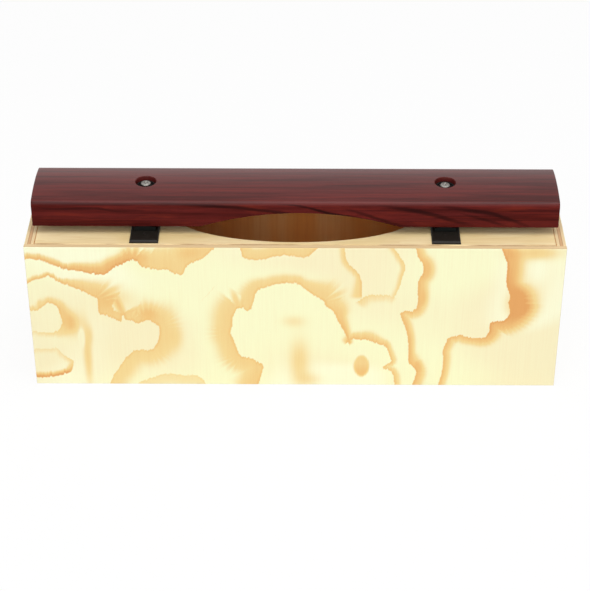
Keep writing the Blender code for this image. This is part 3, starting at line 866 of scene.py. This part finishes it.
def holeCutter(side, centre):
    # A turned plug for one stepped hole: it flares above the eased rim, and the counterbore goes down to
    # the seat of the bush's flange
    wide = bar["counterbore"] / 2
    narrow = bar["bore"] / 2
    ease = bar["rimEase"]
    rim = barHigh.z - bar["crownDrop"]
    seat = bushHigh.z - bush["lipHeight"] - bush["flange"] - bush["seatGap"]
    above = 0.004    # how far the plug stands out of the bar
    below = 0.002
    radii = (wide + above, wide + ease, wide, wide, narrow, narrow)
    heights = (rim + above, rim, rim - ease * 2, seat, seat, barLow.z - below)
    shape = turnedSurface(radii[::-1], heights[::-1], bar["holeSteps"], (centre, 0))
    return newObject(side + "HoleCutter", newMesh(side + "HoleCutter", *shape))


barPiece = addPiece("soundBar", barMesh(), rosewoodFinish(), "bar")
cutWith(barPiece, [holeCutter(side, centre) for side, centre in nodeX.items()])
barFields(barPiece.data)
shadeSmooth(barPiece.data, 30)
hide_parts("sound_bar")
print("stage: bar", len(barPiece.data.polygons), "faces")


rubber = {
    "bush": (paint(16, 15, 15), 0.62),    # colour and roughness
    "rest": (paint(8, 12, 9), 0.55),
    "dust": paint(44, 46, 42),
    "grainDepth": 0.00004,
}


def rubberFinish(kind):
    colour, roughness = rubber[kind]
    finish = Finish(kind + "_rubber", Roughness=roughness, IOR=1.33)
    x, y, z = finish.place()
    dust = finish.noise(x * 0.6, y * 0.6, z * 0.6, 4, 0.7)
    finish.feed("Base Color", finish.mix(dust.step(0.55, 0.8) * 0.2, colour, rubber["dust"]))
    finish.bump(finish.noise(x * 5, y * 5, z * 5, 3, 0.6), rubber["grainDepth"])
    return finish


def bushMesh(centre):
    # A turned profile, once round its section: lip, outer wall, flange, sleeve, bore and floor
    outer = (bushHigh.x - bushLow.x) / 2
    sleeve = bar["bore"] / 2 - bush["seatGap"]
    inner = bush["screwRadius"] + bush["slideGap"]
    lipInner = outer - bush["lipWall"]
    floor = bushHigh.z - bush["lipHeight"]
    r = bush["lipRounding"]
    a = np.linspace(0, math.pi / 2, 5)
    radii = np.concatenate([
        lipInner + r * (1 - np.cos(a)), outer - r * (1 - np.sin(a)),
        [outer, sleeve, sleeve, inner, inner, inner + r, lipInner - r, lipInner]])
    heights = np.concatenate([
        bushHigh.z - r * (1 - np.sin(a)), bushHigh.z - r * (1 - np.cos(a)),
        [floor - bush["flange"], floor - bush["flange"], bushLow.z, bushLow.z, floor - r, floor, floor,
         floor + r]])
    return turnedSurface(radii[::-1], heights[::-1], bush["steps"], (centre, 0), closed=True)


bushRubber = rubberFinish("bush")
for side, centre in nodeX.items():
    piece = addPiece(side + "Bush", bushMesh(centre), bushRubber, "bar")
    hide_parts(side + "_bush")
print("stage: bushes")


screw = {
    "steps": 64,
    "headDepth": {"left": 0.0022, "right": 0.0030},  # from the bar's top to the foot of the dome
    "headRim": 0.0017,
    "rimRounding": 0.0003,
    "dome": 0.0012,
    "shank": bush["screwRadius"],
    "threadDepth": 0.0006,
    "pitch": 0.0022,
    "rowsPerTurn": 10,
    "plainNeck": 0.008,
    "tipTaper": 0.005,
    "tipShare": 0.02,    # what is left of the radius at the very tip
    "recessSpan": 0.0046,
    "recessSlot": 0.0011,
    "recessDepth": 0.0019,
    "recessShares": (1.15, 1.0, 0.42),    # its width above, at and under the dome's top
    "bright": paint(150, 147, 142),
    "worn": paint(112, 108, 102),
    "scratchDepth": 0.00003,
}


def domeBase(side):    # where the head's upright rim ends and its dome starts
    return barHigh.z - screw["headDepth"][side]


def screwMesh(side, centre):
    # A turned head and shank. The dome is r = head sin a, z = base + dome cos a. On the thread the radius is
    # r = shank - depth (1 - ridge), where ridge is 2 |2 f - 1| - 1, kept from 0 to 1, and f is the fraction
    # of z / pitch - a / 2 pi, so the crest winds round as it climbs
    low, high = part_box(side + "_bar_screw")
    headRadius = (high.x - low.x) / 2
    under = domeBase(side) - screw["headRim"]
    pole = 0.00002    # the dome closes on a flat of this radius
    a = np.linspace(0, math.pi / 2, 10)
    headR = np.maximum(headRadius * np.sin(a), pole)
    headZ = domeBase(side) + screw["dome"] * np.cos(a)
    r = screw["rimRounding"]
    b = np.linspace(0, math.pi / 2, 4)
    rimR = headRadius - r * (1 - np.cos(b))
    rimZ = under + r * (1 - np.sin(b))
    neckEnd = under - screw["plainNeck"]
    neckGap = 0.0002    # from the neck's last ring to the thread's first
    rows = round((neckEnd - low.z) / (screw["pitch"] / screw["rowsPerTurn"]))
    threadZ = np.linspace(neckEnd, low.z, rows)
    angles = np.linspace(0, 2 * math.pi, screw["steps"], endpoint=False)
    f = (threadZ[:, None] / screw["pitch"] - angles[None, :] / (2 * math.pi)) % 1
    runIn = np.clip((neckEnd - threadZ) / screw["pitch"], 0, 1)[:, None]
    ridge = np.clip(np.abs(2 * f - 1) * 2 - 1, 0, 1)
    full = screw["shank"] - screw["threadDepth"] * runIn * (1 - ridge)
    taper = np.clip((threadZ - low.z) / screw["tipTaper"], screw["tipShare"], 1)[:, None]
    plain = np.concatenate([headR, rimR, [screw["shank"], screw["shank"]]])
    plainZ = np.concatenate([headZ, rimZ, [under, neckEnd + neckGap]])
    radii = np.vstack([np.repeat(plain[:, None], screw["steps"], axis=1), full * taper])
    heights = np.concatenate([plainZ, threadZ])
    return turnedSurface(radii[::-1], heights[::-1], screw["steps"], (centre, 0))


def crossCutter(name, centre, top):
    # A cross that narrows towards its floor, with arms drawn in by the same share as its slots
    half = screw["recessSpan"] / 2
    slot = screw["recessSlot"] / 2
    above = 0.002    # how far the cutter stands out of the head
    corner = np.array([(slot, slot), (half, slot), (half, -slot)])
    rings = []
    for z, share in zip((top + above, top, top - screw["recessDepth"]), screw["recessShares"]):
        ring = []
        for quarter in range(4):
            angle = -quarter * math.pi / 2
            turn = np.array([[math.cos(angle), -math.sin(angle)], [math.sin(angle), math.cos(angle)]])
            ring.append(corner * share @ turn.T)
        ring = np.vstack(ring)
        rings.append(np.column_stack([centre + ring[:, 0], ring[:, 1], np.full(len(ring), z)]))
    return newObject(name, newMesh(name, np.vstack(rings), ringFaces(len(rings), len(ring))))


def steelFinish():
    finish = Finish("screw_steel", Metallic=1.0)
    x, y, z = finish.place()
    worn = finish.noise(x * 0.9, y * 0.9, z * 0.9, 4, 0.65)
    finish.feed("Base Color", finish.mix(worn.step(0.45, 0.7), screw["bright"], screw["worn"]))
    finish.feed("Roughness", 0.36 + 0.25 * worn)
    finish.bump(finish.noise(x * 4, y * 4, z * 4, 3, 0.6), screw["scratchDepth"])
    return finish


steel = steelFinish()
for side, centre in nodeX.items():
    piece = addPiece(side + "BarScrew", screwMesh(side, centre), steel, "resonator")
    cutWith(piece, [crossCutter(side + "CrossCutter", centre, domeBase(side) + screw["dome"])])
    shadeSmooth(piece.data)
    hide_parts(side + "_bar_screw")
print("stage: screws")


supports = {
    "plate": paint(26, 22, 17),
    "plateScuff": paint(48, 45, 40),
    "nail": paint(60, 58, 58),
    "nailRust": paint(96, 84, 74),
    "scuffDepth": 0.00004,
}


def plateFinish():
    finish = Finish("black_plate", IOR=1.36)
    x, y, z = finish.place()
    scuff = finish.noise(x * 0.35, y * 0.35, z * 0.35, 5, 0.7)
    colour = finish.mix(scuff.step(0.5, 0.75) * 0.5, supports["plate"], supports["plateScuff"])
    finish.feed("Base Color", colour)
    finish.feed("Roughness", 0.36 + 0.2 * scuff)
    finish.bump(finish.noise(x * 3, y * 3, z * 3, 3, 0.6), supports["scuffDepth"])
    return finish


def nailFinish():
    finish = Finish("dark_nail", Metallic=1.0)
    x, y, z = finish.place()
    rust = finish.noise(x * 1.4, y * 1.4, z * 1.4, 4, 0.7)
    finish.feed("Base Color", finish.mix(rust.step(0.4, 0.7), supports["nail"], supports["nailRust"]))
    finish.feed("Roughness", 0.4 + 0.3 * rust)
    return finish


dress(plateFinish(), "left_support_plate", "right_support_plate")
dress(nailFinish(), "left_front_nail", "left_back_nail", "right_front_nail", "right_back_nail")
dress(rubberFinish("rest"), "left_bar_rest", "right_bar_rest")
print("stage: supports")


studio = {
    "floorHalf": 9.0,
    "floorColour": (0.92, 0.92, 0.92, 1),
    "floorWhite": 0.9,    # share of plain white in what the camera sees of it
    "ambient": 0.56,
    "lampTarget": (0, 0, 0.1),
    "lamps": (    # name, place, size and power
        ("frontLamp", (-0.25, -1.9, 1.25), (1.6, 1.2), 10.5),
        ("upperLamp", (0.2, -0.5, 1.9), (1.6, 1.2), 18.0),
    ),
}


def studioFloor():
    half = studio["floorHalf"]
    corners = [(-half, -half, 0), (half, -half, 0), (half, half, 0), (-half, half, 0)]
    mesh = newMesh("studioFloor", corners, [(0, 1, 2, 3)])
    finish = Finish("studio_floor", Roughness=0.9)
    finish.surface.inputs["Base Color"].default_value = studio["floorColour"]
    camera = finish.node("LightPath", output="Is Camera Ray")
    glossy = finish.node("LightPath", output="Is Glossy Ray")
    through = finish.node("LightPath", output="Is Transmission Ray")
    white = finish.node("Emission", inputs={"Color": (1, 1, 1, 1), "Strength": 1.0})
    share = camera.larger(glossy).larger(through) * studio["floorWhite"]
    mixed = finish.node("MixShader", inputs={0: share, 2: white})
    finish.tree.links.new(finish.surface.outputs[0], mixed.socket.node.inputs[1])
    output = finish.tree.nodes["Material Output"]
    finish.tree.links.new(mixed.socket, output.inputs["Surface"])
    mesh.materials.append(finish.material)
    newObject("studioFloor", mesh)


def studioWorld():
    world = bpy.data.worlds.new("studio")
    bpy.context.scene.world = world
    world.use_nodes = True
    nodes = world.node_tree.nodes
    links = world.node_tree.links
    background = nodes["Background"]
    background.inputs["Color"].default_value = (1, 1, 1, 1)
    path = nodes.new("ShaderNodeLightPath")
    seen = nodes.new("ShaderNodeMath")
    seen.operation = "MAXIMUM"
    links.new(path.outputs["Is Camera Ray"], seen.inputs[0])
    links.new(path.outputs["Is Glossy Ray"], seen.inputs[1])
    strength = nodes.new("ShaderNodeMapRange")
    strength.inputs["To Min"].default_value = studio["ambient"]
    strength.inputs["To Max"].default_value = 1.0
    links.new(seen.outputs[0], strength.inputs["Value"])
    links.new(strength.outputs[0], background.inputs["Strength"])


def studioLamp(name, place, size, power):
    data = bpy.data.lights.new(name, "AREA")
    data.shape = "RECTANGLE"
    data.size, data.size_y = size
    data.energy = power
    lamp = newObject(name, data)
    lamp.location = place
    towards = Vector(studio["lampTarget"]) - Vector(place)
    lamp.rotation_euler = towards.to_track_quat("-Z", "Y").to_euler()


view = {
    "lens": 110.0,
    "place": (0.0120, -1.3217, 0.9647),
    "pitch": 34.375,    # degrees down
    "yaw": 0.54,
    "roll": -0.08,
}


def studioCamera():
    data = bpy.data.cameras.new("camera")
    data.sensor_width = 36
    data.sensor_fit = "HORIZONTAL"
    data.lens = view["lens"]
    camera = newObject("camera", data)
    pitch, yaw, roll = (math.radians(view[key]) for key in ("pitch", "yaw", "roll"))
    turn = Matrix.Rotation(yaw, 4, "Z") @ Matrix.Rotation(math.pi / 2 - pitch, 4, "X")
    turn = turn @ Matrix.Rotation(roll, 4, "Z")
    camera.matrix_world = Matrix.Translation(view["place"]) @ turn
    bpy.context.scene.camera = camera


studioFloor()
studioWorld()
for lamp in studio["lamps"]:
    studioLamp(*lamp)
studioCamera()
bpy.context.scene.view_settings.view_transform = "Standard"
print("stage: studio")
